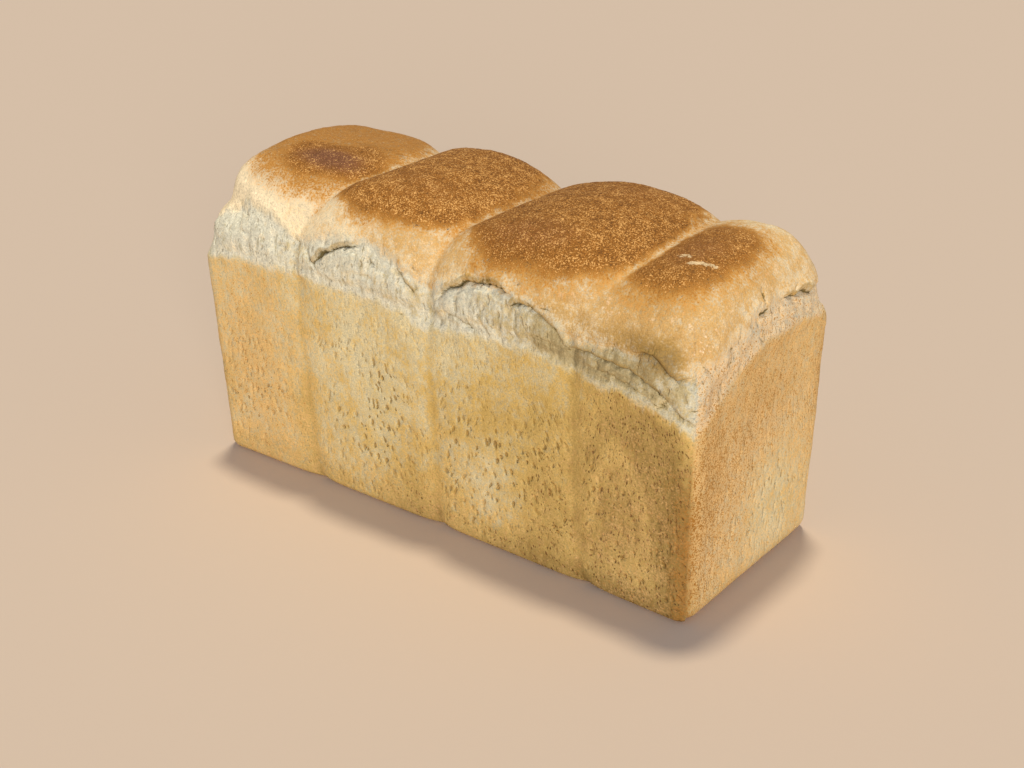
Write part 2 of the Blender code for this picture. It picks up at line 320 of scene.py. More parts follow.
def farStep(points):
    across = smoothStep(loaf["farStepStart"], loaf["farStepEnd"], points[:, 0])
    height = (points[:, 2] - loaf["farStepHeight"]) / loaf["farStepRise"]
    return loaf["farStepDepth"] * across * bell(height)


# Tears: their corners as (along the face, height), lip height and depth, all in mm
tears = {
    "side": (
        (((-61, 107), (-52, 118), (-28, 126)), 1.6, 2.4),
        (((-66, 117), (-56, 108)), 0.6, 1.4),
        (((-15, 120), (-8, 114), (-2, 107)), 0.8, 2.0),
        (((8, 106), (18, 119), (36, 123), (50, 119)), 2.4, 2.8),
        (((45, 111), (51, 119), (64, 116), (73, 105)), 1.5, 2.2),
        (((73, 105), (88, 107), (109, 103), (127, 92)), 1.4, 2.4),
        (((101, 110), (113, 114), (121, 108), (133, 108)), 3.0, 3.0),
        (((-44, 108), (-32, 112), (-18, 107)), 0.4, 0.8),
        (((10, 106), (20, 104), (32, 100)), 0.4, 1.0),
        (((28, 117), (33, 112), (35, 106)), 0.4, 0.8),
        (((56, 104), (64, 108), (70, 101)), 0.4, 0.9),
        (((84, 100), (100, 99), (116, 92)), 0.4, 0.9),
        (((90, 110), (96, 112), (106, 108)), 0.4, 0.9),
        (((116, 97), (124, 93), (131, 86)), 0.4, 1.0),
    ),
    "end": (
        (((-5, 129), (-6, 120)), 0.2, 1.4),
        (((-12, 121), (-1, 119)), 0.5, 1.6),
        (((3, 121), (20, 120), (36, 115)), 1.4, 1.8),
    ),
    "back": (
        (((-106, 112), (-92, 118), (-72, 115)), 1.4, 2.0),
        (((-50, 108), (-34, 118), (-12, 113)), 1.8, 2.2),
        (((24, 110), (40, 119), (62, 114)), 1.6, 2.2),
        (((94, 108), (106, 112), (118, 110)), 1.4, 2.0),
    ),
    "lowest": 16 * mm,  # below the rim, under which nothing is torn
    "width": 1.1 * mm,
    "widthDrift": (5 * mm, 0.45),  # size and amount
    "endFade": 0.25,  # share of its length that fades at each end
    "gapShadeDepth": 1.6,  # mm deep, where the painted shade in a gap is full
    "creaseLip": 0.5,  # mm, a crease has a lower lip than this
    "lipReach": 9 * mm,
    "lipEdge": 0.7 * mm,
    "lipBead": 0.5 * mm,
    "beadPlace": 0.6,  # lip thicknesses from the gap
    "beadSharpness": 6,
    "lipThickness": 2.2 * mm,
    "overhang": 1.1 * mm,
    "overhangReach": 2.4 * mm,
    "mostOverhang": 2.0,  # mm of lip, past which it hangs over no further
    "bulge": 0.8 * mm,
    "bulgeReach": 6 * mm,
    "foldSpacing": 2.6 * mm,
    "foldHeight": 0.22 * mm,
    "mostRolled": 1.6,  # mm of lip, past which bulge, bead and folds stay as they are
    "ragged": ((7 * mm, 1.3 * mm), (2.4 * mm, 0.6 * mm)),  # size and amount
    "pathSteps": 16,
}


def smoothPath(corners):
    knots = np.array(corners) * mm
    bend = np.polyfit(np.linspace(0, 1, len(knots)), knots, len(knots) - 1)
    share = np.linspace(0, 1, tears["pathSteps"])
    return np.stack([np.polyval(bend[:, 0], share), np.polyval(bend[:, 1], share)], axis=1)


def tearShape(flat, corners, lip, depth, width):
    # for points given as (along the face, height): which are near, how far the crust is
    # pushed out, how far it slides down over the gap, how much painted shade falls in the gap,
    # and how far the point is on the lip and on the fresh dough below it
    path = smoothPath(corners)
    size = tears["lipReach"] if lip > tears["creaseLip"] else tears["lipThickness"]
    reach = 3 * size  # hardly anything is left beyond it
    near = ((flat > path.min(axis=0) - reach) & (flat < path.max(axis=0) + reach)).all(axis=1)
    width = width[near]
    starts, legs = path[:-1], np.diff(path, axis=0)
    offset = flat[near][:, None, :] - starts
    share = np.clip((offset * legs).sum(2) / (legs**2).sum(1), 0, 1)
    gap = offset - legs * share[:, :, None]
    nearest = np.hypot(gap[:, :, 0], gap[:, :, 1]).argmin(1)
    row = np.arange(len(nearest))
    gap, leg = gap[row, nearest], legs[nearest]
    distance = np.hypot(gap[:, 0], gap[:, 1])
    side = np.sign(leg[:, 0] * gap[:, 1] - leg[:, 1] * gap[:, 0])
    above = smoothStep(-tears["lipEdge"], tears["lipEdge"], distance * side)
    along = nearest + share[row, nearest]
    fade = smoothStep(0, len(legs) * tears["endFade"], np.minimum(along, len(legs) - along))
    cut = bell(distance / width)
    below = bell(distance / tears["bulgeReach"] - 1) * (1 - above)
    fromBead = distance / tears["lipThickness"] - tears["beadPlace"]
    bead = np.exp(-(fromBead**2) * tears["beadSharpness"]) * above
    folds = np.cos(2 * math.pi * distance / tears["foldSpacing"]) * below
    out = lip * mm * np.exp(-distance / tears["lipReach"]) * above - depth * mm * cut
    rolled = tears["bulge"] * below + tears["lipBead"] * bead + tears["foldHeight"] * folds
    out += min(lip, tears["mostRolled"]) * rolled
    down = np.stack([leg[:, 1], -leg[:, 0]], axis=1) / np.hypot(leg[:, 0], leg[:, 1])[:, None]
    amount = tears["overhang"] * min(lip, tears["mostOverhang"])
    amount = amount * np.exp(-distance / tears["overhangReach"]) * above
    # painted shade in the gap, fuller the deeper the gap
    dark = cut * min(depth / tears["gapShadeDepth"], 1)
    marks = np.stack([dark, bead * min(lip, 1), below * min(lip, 1)]) * fade
    return near, fade * out, down * (fade * amount)[:, None], marks


# Short cracks that the stretched dough is full of
cracks = {
    "count": 240,
    "length": (2.0, 7.0),  # mm
    "depth": (0.4, 0.9),  # mm
    "width": 0.6 * mm,
    "lip": 0.3,  # mm
    "beyond": (2 * mm, 3 * mm),  # how far below and above the band they lie
    "turn": 0.9,  # radians either way from lying or from upright
    "bend": 0.5,
    # the most painted shade a crack's gap gets
    "darkness": 0.85,
    "seed": 4,
}


def shortCracks():
    # random arcs in the band all round the loaf, each as corners and depth
    draw = np.random.default_rng(cracks["seed"])
    below, above = cracks["beyond"]
    found = []
    for _ in range(cracks["count"]):
        distance = draw.uniform(-halfLong, girth - halfLong)
        low, high = bandLines(np.array([distance]))
        middle = np.array((distance, draw.uniform(low[0] - below, high[0] + above))) / mm
        length = draw.uniform(*cracks["length"])
        turn = draw.uniform(-cracks["turn"], cracks["turn"]) + draw.choice((0.0, math.pi / 2))
        way = np.array((math.cos(turn), math.sin(turn))) * length / 2
        bend = np.array((-way[1], way[0])) * draw.uniform(-cracks["bend"], cracks["bend"])
        corners = (middle - way, middle + bend, middle + way)
        found.append((corners, draw.uniform(*cracks["depth"])))
    return found


def tearTheCrust(points, ways):
    # how the tears and cracks move each point, how much painted shade it gets in a gap,
    # and how far it is on a lip and on fresh dough
    x, y, z = points.T
    distance = wayRound(points)
    upper = z > loaf["rimHeight"] - tears["lowest"]
    onSide = upper & (distance <= halfLong + loaf["tinCorner"]) & (y < 0)
    onEnd = upper & (np.abs(distance - halfLong - halfWide) < halfWide) & (x > 0)
    onBack = upper & (y > 0) & ~onEnd
    ragged = np.zeros((len(points), 2))
    for turn, (size, amount) in enumerate(tears["ragged"]):
        for axis in (0, 1):
            field = noiseField(points[upper], size, "ragged", 7 * axis + 3 * turn)
            ragged[upper, axis] += amount * field
    uneven = np.ones(len(points))
    size, amount = tears["widthDrift"]
    uneven[upper] += amount * noiseField(points[upper], size, "gapWidth")
    moved, marks = np.zeros_like(points), np.zeros((3, len(points)))
    jobs = [(onSide, distance, 0, job, tears["width"]) for job in tears["side"]]
    jobs += [(onEnd, y, 1, job, tears["width"]) for job in tears["end"]]
    jobs += [(onBack, x, 0, job, tears["width"]) for job in tears["back"]]
    for corners, depth in shortCracks():
        jobs.append((upper, distance, None, (corners, cracks["lip"], depth), cracks["width"]))
    for chosen, along, axis, (corners, lip, depth), width in jobs:
        index = np.flatnonzero(chosen)
        flat = np.stack([along[index], z[index]], axis=1) + ragged[index]
        near, out, slide, found = tearShape(flat, corners, lip, depth, width * uneven[index])
        index = index[near]
        moved[index] += ways[index] * out[:, None]
        if axis is None:
            dark = found[0] * tears["gapShadeDepth"] * cracks["darkness"]
            found[0] = np.minimum(dark, cracks["darkness"])
        else:
            moved[index, axis] += slide[:, 0]
            moved[index, 2] += slide[:, 1]
        marks[:, index] = np.maximum(marks[:, index], found)
    return moved, marks


# Where the crown is browned, in mm, and how golden its shoulders are
browning = {
    # dough piece, x, y, half length, half width, turn, the ring's width and level, how brown
    "patches": (
        (0, -76, -19, 27, 16, 12, 8, 0.4, 1.0),
        (0, -82, 3, 34, 40, 0, 15, 0.55, 0.25),
        (1, -25, -4, 40, 42, 7, 10, 0.42, 1.0),
        (2, 50, -4, 44, 47, 4, 14, 0.44, 1.0),
        (2, 34, -40, 18, 14, 8, 10, 0.42, 0.0),
        (3, 105, -15, 21, 31, -4, 14, 0.45, 0.92),
    ),
    "boxiness": 3.0,  # 2 is an ellipse
    "edge": (-4.0, 5.0),  # mm inside its outline, where a patch's brown starts and is full
    "pieceEdge": 1 * mm,  # either side of a joint, where one piece's browning ends
    "shoulderHeight": 140 * mm,
    "shoulderFade": 0.55,  # how fast the brown ends below that height
    "ragged": ((15, 2.6), (4.2, 1.4)),  # size and amount
    "jointReach": (2.8, 4.2, 3.2),  # mm, how far each joint's pale line spreads
    "jointLeast": (0.34, 0.42, 0.28),  # how browned it is there
    "jointSpread": 1.8,  # how much wider it gets towards the back
    "jointBack": (-12 * mm, 24 * mm),  # across, where it starts to get wider and is widest
    "jointHeights": (122 * mm, 134 * mm),  # where it starts and is as browned as stated
    "jointEdge": (-0.1, 1.1),  # in reaches from the joint, where it starts to end and ends
    "jointShift": (0.4, 0.5),  # reaches that broad and fine noise shift that by
    "scorched": (  # x, y, half length, half width, how dark
        (-76, -21, 21, 10, 1.0), (45, -34, 30, 10, 0.5), (-20, -24, 24, 14, 0.3),
        (108, -14, 14, 18, 0.5), (62, 12, 26, 18, 0.3),
    ),
    "scorchEdge": 1.6,  # 1 is a soft edge
    "tanBase": 0.45,
    "mostTan": 1.1,
    "tan": (  # x, y, half length, half width, how golden
        (-105, -42, 34, 22, -0.45), (-60, -46, 16, 12, -0.1), (-12, -46, 22, 10, 0.35),
        (46, -46, 30, 12, 0.5), (106, -44, 28, 18, 0.58), (128, 4, 12, 46, 0.3),
        (0, 52, 150, 16, 0.3),
    ),
    "dusk": (  # along, height, half length, half height, how much painted shade darkens the front shoulder above the tears
        (118, 113, 12, 7, 1.4), (98, 116, 16, 6, 0.65), (70, 118, 12, 7, 0.45),
    ),
    "shoulderShadeEnd": (-12 * mm, 2 * mm),  # past the loaf's corner, where that starts to end and ends
    "scuffs": (((111, -25), (119, -20)), ((103, -19), (108, -20))),  # from and to, x and y
    "scuffWidth": 1.2 * mm,
    "scuffHeights": (120 * mm, 130 * mm),  # where they start and are full
}


def fromPlace(across, height, place):
    # squared distance from the middle of an oval place, in its half sizes
    at, level, halfLength, halfHeight = place
    return ((across / mm - at) / halfLength) ** 2 + ((height / mm - level) / halfHeight) ** 2


def blobs(across, height, places):
    total = np.zeros(len(across))
    for *place, amount in places:
        total += amount * np.exp(-fromPlace(across, height, place))
    return total


def brownedPatches(points, courses, ragged):
    # 1 in the brown, about 0.4 in the orange ring round it and 0 on the pale shoulders
    x, y, z = points.T
    bake = np.zeros(len(x))
    below = browning["shoulderFade"] * np.maximum(browning["shoulderHeight"] - z, 0) / mm
    limits = (-loaf["baseLength"], *courses, loaf["baseLength"])
    power, beside = browning["boxiness"], browning["pieceEdge"]
    for piece, atX, atY, halfLength, halfWidth, turn, ring, level, browned in browning["patches"]:
        c, s = math.cos(math.radians(turn)), math.sin(math.radians(turn))
        u = np.abs(c * (x / mm - atX) + s * (y / mm - atY)) / halfLength
        v = np.abs(c * (y / mm - atY) - s * (x / mm - atX)) / halfWidth
        inside = 1 - (u**power + v**power) ** (1 / power)
        inside = inside * min(halfLength, halfWidth) + ragged - below
        brown = smoothStep(*browning["edge"], inside)
        here = smoothStep(-beside, beside, x - limits[piece])
        here *= smoothStep(-beside, beside, limits[piece + 1] - x)
        ringed = level * smoothStep(-ring, 1.0, inside)
        bake = np.maximum(bake, here * ((1 - level) * browned * brown + ringed))
    return bake


def crownBrowning(points, courses, fine, broad):
    # how browned the crown is, paler along the joints, and how scorched
    x, y, z = points.T
    ragged = np.zeros(len(points))
    for use, (size, amount) in zip(("wideBrown", "narrowBrown"), browning["ragged"]):
        ragged += amount * noiseField(points, size * mm, use)
    bake = brownedPatches(points, courses, ragged)
    fromJoints = np.abs(x - np.array(courses))
    nearest = fromJoints.argmin(axis=0)
    least = np.array(browning["jointLeast"])[nearest]
    reach = np.array(browning["jointReach"])[nearest] * mm
    reach = reach * (1 + browning["jointSpread"] * smoothStep(*browning["jointBack"], y))
    atJoint = least * bake.max() * smoothStep(*browning["jointHeights"], z)
    broadShift, fineShift = browning["jointShift"]
    away = fromJoints.min(axis=0) / reach + broadShift * broad + fineShift * fine
    away = smoothStep(*browning["jointEdge"], away)
    bake = bake * away + atJoint * (1 - away)
    scorch = np.zeros(len(points))
    for *place, amount in browning["scorched"]:
        away = fromPlace(x, y, place) ** browning["scorchEdge"]
        scorch = np.maximum(scorch, amount * np.exp(-away))
    return bake, scorch * bake


def segmentMarks(x, y, segments, width):
    total = np.zeros(len(x))
    for start, end in segments:
        start, leg = np.array(start) * mm, (np.array(end) - start) * mm
        share = np.clip(((x - start[0]) * leg[0] + (y - start[1]) * leg[1]) / (leg @ leg), 0, 1)
        away = np.hypot(x - start[0] - share * leg[0], y - start[1] - share * leg[1])
        total = np.maximum(total, bell(away / width))
    return total


# Pale (0), golden (1) and deep brown (2) places on the walls, partly painted shade that darkens
# the front towards +X: along, height, half length, half height and how much is added there
wallTones = {
    "base": 0.5,
    "most": 2,
    "front": (
        (-106, 50, 34, 60, 0.2), (-126, 40, 8, 18, 0.3), (-74, 28, 7, 32, 0.4),
        (-104, 3, 30, 10, 0.35), (-45, 80, 28, 24, -0.1), (-30, 55, 22, 22, -0.15),
        (-36, 30, 30, 30, 0.05), (-40, 3, 40, 10, 0.65), (-8, 8, 14, 14, 0.3),
        (-10, 18, 12, 22, 0.4), (15, 86, 20, 18, -0.2), (42, 45, 36, 60, 0.47),
        (42, 90, 30, 12, -0.1), (34, 32, 14, 22, -0.55), (60, 25, 14, 30, 0.35),
        (40, 4, 40, 11, 0.7), (68, 90, 9, 10, -0.2), (-22, 92, 24, 10, -0.15),
        # deep brown on the near piece, partly painted shade
        (106, 48, 32, 70, 1.4), (106, 18, 14, 12, -0.35), (98, 50, 9, 14, -0.35),
        (104, 3, 30, 7, 0.75), (128, 28, 9, 40, 1.2), (131, 80, 3, 12, -0.35),
    ),
    "end": (
        (-5, 88, 50, 24, 0.35), (-38, 66, 7, 32, 0.4), (6, 30, 34, 26, -0.2),
        (46, 80, 8, 42, 0.35), (-47, 40, 5, 50, 0.5), (0, 2, 60, 6, 0.4),
    ),
    "seam": 0.28,
    "seamWidth": 2.0 * mm,
    "seamShift": 0.5,
    "arches": ((98, 24, 14, 42, 0.48),),  # pale ring: along, foot, half width, height, amount
    "archWidth": 2.2,  # mm
    "archRise": 12,  # mm above its foot, where it is full
    "nearEdge": (1.5, 8, 40, 86),  # brown on the near edge: shift, width, full and none, mm
    "warmth": 0.35,
    "warmFront": (
        (-106, 50, 34, 70, 0.6), (-38, 60, 34, 60, -0.2), (30, 90, 40, 30, -0.6),
        (106, 30, 26, 60, 0.3), (131, 30, 5, 44, 0.2), (-20, 8, 60, 12, 0.25),
    ),
    "warmEnd": (
        (-10, 60, 80, 90, 0.95), (-42, 50, 10, 60, 0.3), (12, 26, 26, 22, -0.55),
        (10, 48, 22, 18, -0.3), (46, 80, 8, 42, 0.3),
    ),
    "warmBand": 1.0,  # how much of that reaches the band on the ends
    "drift": ((19, 0.22), (7, 0.18)),  # size and amount
    "broadSize": 7 * mm,  # of the noise that shifts all outlines
    "fineSize": 2.6 * mm,
}

# How porous the walls are: along or across, height, half length, half height and amount
porous = {
    "base": 0.2,
    "front": (
        (-105, 34, 24, 34, 0.8), (-32, 42, 30, 42, 1.0), (44, 38, 34, 40, 1.1),
        (104, 24, 26, 30, 1.0),
    ),
    "end": ((-20, 36, 24, 36, 0.8), (20, 36, 30, 30, 0.5)),
    "drift": (21 * mm, 0.8, 0.9),  # size, middle and amount
    "least": 0.1,
    "jointGap": 5 * mm,
    "cornerGap": (0.4 * mm, 2 * mm),
    "footGap": (1 * mm, 8 * mm),
    "pitsFrom": 0.5,  # the wall's tone above which it has fine pits too
}


def crustMasks(points, courses, low, high, marks):
    # what the finish depends on at each point
    x, y, z = points.T
    broad = noiseField(points, wallTones["broadSize"], "broad")
    fine = noiseField(points, wallTones["fineSize"], "fine")
    bake, scorch = crownBrowning(points, courses, fine, broad)
    fromJoint = np.abs(x - np.array(courses)).min(axis=0)
    fromEdge = (np.abs(x) - halfLong) - (np.abs(y) - halfWide)
    onEnd = smoothStep(-loaf["cornerBlend"], loaf["cornerBlend"], fromEdge)
    onSide = 1 - onEnd
    along = np.where(y < 0, x, -x)
    across = np.where(x > 0, y, -y)

    def overWalls(base, front, end):
        return base + blobs(along, z, front) * onSide + blobs(across, z, end) * onEnd

    broadShift, fineShift = band["shift"]
    level = z + (broadShift * broad + fineShift * fine) * mm
    aboveWall = fadeFrom(low, band["wallFade"], level)
    inBand = aboveWall * (1 - fadeFrom(high, band["bandFade"], level))
    tone = overWalls(wallTones["base"], wallTones["front"], wallTones["end"])
    for index, (size, amount) in enumerate(wallTones["drift"]):
        tone += amount * noiseField(points, size * mm, "tone", index)
    fromSeam = fromJoint / wallTones["seamWidth"] + wallTones["seamShift"] * broad
    tone += wallTones["seam"] * bell(fromSeam)
    for at, foot, halfSpan, height, amount in wallTones["arches"]:
        fromFoot = np.hypot((along / mm - at) / halfSpan, (z / mm - foot) / height)
        arch = bell((fromFoot - 1) * halfSpan / wallTones["archWidth"])
        arch *= smoothStep(foot * mm, (foot + wallTones["archRise"]) * mm, z)
        tone -= amount * arch * onSide
    warm = overWalls(wallTones["warmth"], wallTones["warmFront"], wallTones["warmEnd"])
    warm = np.clip(warm, 0, wallTones["most"])
    tone = np.clip(tone, 0, wallTones["most"])
    shift, width, full, none = np.array(wallTones["nearEdge"]) * mm
    nearEdge = bell((fromEdge + shift) / width) * smoothStep(none, full, z)
    offSeam = smoothStep(0, porous["jointGap"], fromJoint)
    offSeam *= smoothStep(*porous["cornerGap"], np.abs(fromEdge))
    size, middle, amount = porous["drift"]
    drift = middle + amount * noiseField(points, size, "holes")
    holes = overWalls(porous["base"], porous["front"], porous["end"])
    holes *= offSeam * smoothStep(*porous["footGap"], z)
    holes *= np.clip(drift, porous["least"], 1) * (1 - inBand)
    # painted shade on the front shoulder above the tears
    dusk = blobs(along, z, browning["dusk"]) * (y < 0)
    scuff = segmentMarks(x, y, browning["scuffs"], browning["scuffWidth"])
    gap, lip, fresh = marks
    return {
        "bake": bake,
        "scorch": scorch,
        "band": inBand * (1 + blobs(along, z, band["creased"]) * onSide),
        # painted shade on the band
        "dun": inBand * blobs(along, z, band["dun"]) * onSide,
        "tone": tone * (1 - aboveWall),
        "warm": warm * (1 - aboveWall * (1 - wallTones["warmBand"] * onEnd)),
        "pits": np.maximum(tone - porous["pitsFrom"], 0) * (1 - aboveWall) * offSeam,
        "tan": np.clip(browning["tanBase"] + blobs(x, y, browning["tan"]), 0, browning["mostTan"]),
        "holes": np.clip(holes, 0, 1),
        "edge": nearEdge * (x > 0) * (y < 0),
        "dusk": dusk * (1 - smoothStep(*browning["shoulderShadeEnd"], fromEdge)),
        # painted shade in the gaps of the tears and cracks
        "gap": gap,
        "lip": lip,
        "fresh": fresh,
        "scuff": scuff * smoothStep(*browning["scuffHeights"], z),
        "crown": fadeFrom(high, band["crownFade"], level),
    }


# How the runs of pores lie: they fan inwards as they rise on each dough piece
grainFlow = {
    "fanFrom": 25 * mm,
    "fanRise": 60 * mm,
    "fanIn": 0.5,
    "bow": 7.0,  # per metre, how much higher a run stands at the sides of its piece
    "endAcross": 1.4,  # on the ends they are narrower by this,
    "endUpward": 0.65,  # and longer by one over this
    "faceShift": 0.3,  # metres between the patterns of two faces
}


def grainCoordinates(points, courses):
    # place across and along the runs of pores, which differ on each face
    x, y, z = points.T
    edges = (-halfLong, *joints["places"], halfLong)
    middles = np.array([(a + b) / 2 for a, b in zip(edges, edges[1:])])
    piece = (x > np.array(courses)).sum(axis=0)
    onEnd = np.abs(x) - halfLong > np.abs(y) - halfWide
    aside = np.where(onEnd, y, x - middles[piece])
    climb = np.clip((z - grainFlow["fanFrom"]) / grainFlow["fanRise"], 0, 1)
    across = aside * (1 + grainFlow["fanIn"] * climb**2)
    across = across * np.where(onEnd, grainFlow["endAcross"], 1.0)
    upward = (z + aside**2 * grainFlow["bow"]) * np.where(onEnd, grainFlow["endUpward"], 1.0)
    face = np.where(onEnd, np.where(x > 0, 9, 11), piece + np.where(y < 0, 0, 4))
    return np.stack([across + face * grainFlow["faceShift"], upward, np.zeros(len(x))], axis=1)


def addNode(tree, kind, inputs=None, output=0, **settings):
    # adds a node with its settings and returns one of its outputs; an input, given by name
    # or number, is a value or an output to link
    node = tree.nodes.new(kind)
    for name, value in settings.items():
        setattr(node, name, value)
    for key, value in (inputs or {}).items():
        if isinstance(value, bpy.types.NodeSocket):
            tree.links.new(value, node.inputs[key])
        else:
            node.inputs[key].default_value = value
    return node.outputs[output] if len(node.outputs) else node


def toLinear(hexColour):
    channels = [int(hexColour[i : i + 2], 16) / 255 for i in (1, 3, 5)]
    linear = [c / 12.92 if c <= 0.04045 else ((c + 0.055) / 1.055) ** 2.4 for c in channels]
    return (*linear, 1.0)


def newObject(name, data):
    made = bpy.data.objects.new(name, data)
    bpy.context.scene.collection.objects.link(made)
    return made


def shownMesh(source, name):
    # the object as its modifiers show it, as a plain mesh
    bpy.context.view_layer.update()
    graph = bpy.context.evaluated_depsgraph_get()
    mesh = bpy.data.meshes.new_from_object(source.evaluated_get(graph), depsgraph=graph)
    mesh.name = name
    return mesh


def newMaterial(name, values):
    # a material and its shader, with the values that are the same all over
    material = bpy.data.materials.new(name)
    material.use_nodes = True
    shader = material.node_tree.nodes["Principled BSDF"]
    for socket, value in values.items():
        shader.inputs[socket].default_value = value
    return material, shader


def newTree(name, sizes):
    # a Geometry Nodes tree with a named input for each size, and one for the material
    tree = bpy.data.node_groups.new(name, "GeometryNodeTree")
    tree.is_modifier = True
    tree.interface.new_socket("Geometry", in_out="INPUT", socket_type="NodeSocketGeometry")
    for label, value in sizes.items():
        kind = "NodeSocketInt" if isinstance(value, int) else "NodeSocketFloat"
        tree.interface.new_socket(label, in_out="INPUT", socket_type=kind)
    tree.interface.new_socket("Material", in_out="INPUT", socket_type="NodeSocketMaterial")
    tree.interface.new_socket("Geometry", in_out="OUTPUT", socket_type="NodeSocketGeometry")
    return tree, addNode(tree, "NodeGroupInput").node.outputs


def applyTree(source, tree, sizes, material, name):
    # runs the tree on a mesh object and returns the result as a plain mesh object
    modifier = source.modifiers.new(tree.name, "NODES")
    modifier.node_group = tree
    values = {**sizes, "Material": material}
    for item in tree.interface.items_tree:
        if item.in_out == "INPUT" and item.name in values:
            modifier[item.identifier] = values[item.name]
    piece = newObject(name, shownMesh(source, name))
    source.modifiers.remove(modifier)
    return piece


# Pores, fibres and grain of the crust, in mm
crustRelief = {
    "Pore width": 2.9,
    "Pore length": 5.0,
    "Pore depth": 0.9,
    "Cavity width": 3.2,
    "Cavity length": 5.5,
    "Cavity depth": 0.4,
    "Fibre width": 2.6,
    "Fibre relief": 0.7,
    "Grain size": 2.4,
    "Grain relief": 0.28,
}

# How those patterns are drawn
fineForm = {
    "pore": (0.1, 0.0),  # share of cells with none, and a shift that sets it apart
    "cavity": (0.5, 40.0),
    "finePore": (0.5, 80.0),
    "radius": (0.001, 0.46),  # smallest and largest, in cells
    "floor": 0.4,  # share of the radius that is at full depth
    "warpSize": 9 * mm,
    "warp": 6 * mm,
    "fibreStretch": 0.28,  # under 1 is drawn out upwards
    "octaves": {"Fibre width": 3.0, "Grain size": 2.0},
    "grainLeast": 0.6,  # off the brown, which adds as much again
    "offBase": (0.5 * mm, 4 * mm),  # heights where it all starts and is full
    "offLattice": mm,  # shift off the noise's lattice
}


def holePattern(tree, kind, grain, place, width, length):
    # 1 inside the holes of a crust: long cells that follow the grain, each with its own size
    fewest, shift = fineForm[kind]
    smallest, largest = fineForm["radius"]
    warp = {"Vector": place, "Scale": 1 / fineForm["warpSize"], "Detail": 1.0}
    warp = addNode(tree, "ShaderNodeTexNoise", warp, "Color")
    bent = {0: warp, 1: (fineForm["warp"], fineForm["warp"], 0), 2: grain}
    bent = addNode(tree, "ShaderNodeVectorMath", bent, operation="MULTIPLY_ADD")
    wide = addNode(tree, "ShaderNodeMath", {0: 1 / mm, 1: width}, operation="DIVIDE")
    long = addNode(tree, "ShaderNodeMath", {0: 1 / mm, 1: length}, operation="DIVIDE")
    perCell = addNode(tree, "ShaderNodeCombineXYZ", {0: wide, 1: long})
    cells = {0: bent, 1: perCell, 2: (shift, shift, 0)}
    cells = addNode(tree, "ShaderNodeVectorMath", cells, operation="MULTIPLY_ADD")
    away = {"Vector": cells, "Scale": 1.0}
    away = addNode(tree, "ShaderNodeTexVoronoi", away, "Distance", voronoi_dimensions="2D")
    chance = addNode(tree, "ShaderNodeSeparateXYZ", {0: away.node.outputs["Color"]})
    radius = {"Value": chance, "From Min": fewest, "To Min": smallest, "To Max": largest}
    radius = addNode(tree, "ShaderNodeMapRange", radius)
    share = addNode(tree, "ShaderNodeMath", {0: away, 1: radius}, operation="DIVIDE")
    edge = {"Value": share, "From Min": 1.0, "From Max": fineForm["floor"]}
    return addNode(tree, "ShaderNodeMapRange", edge, interpolation_type="SMOOTHSTEP")


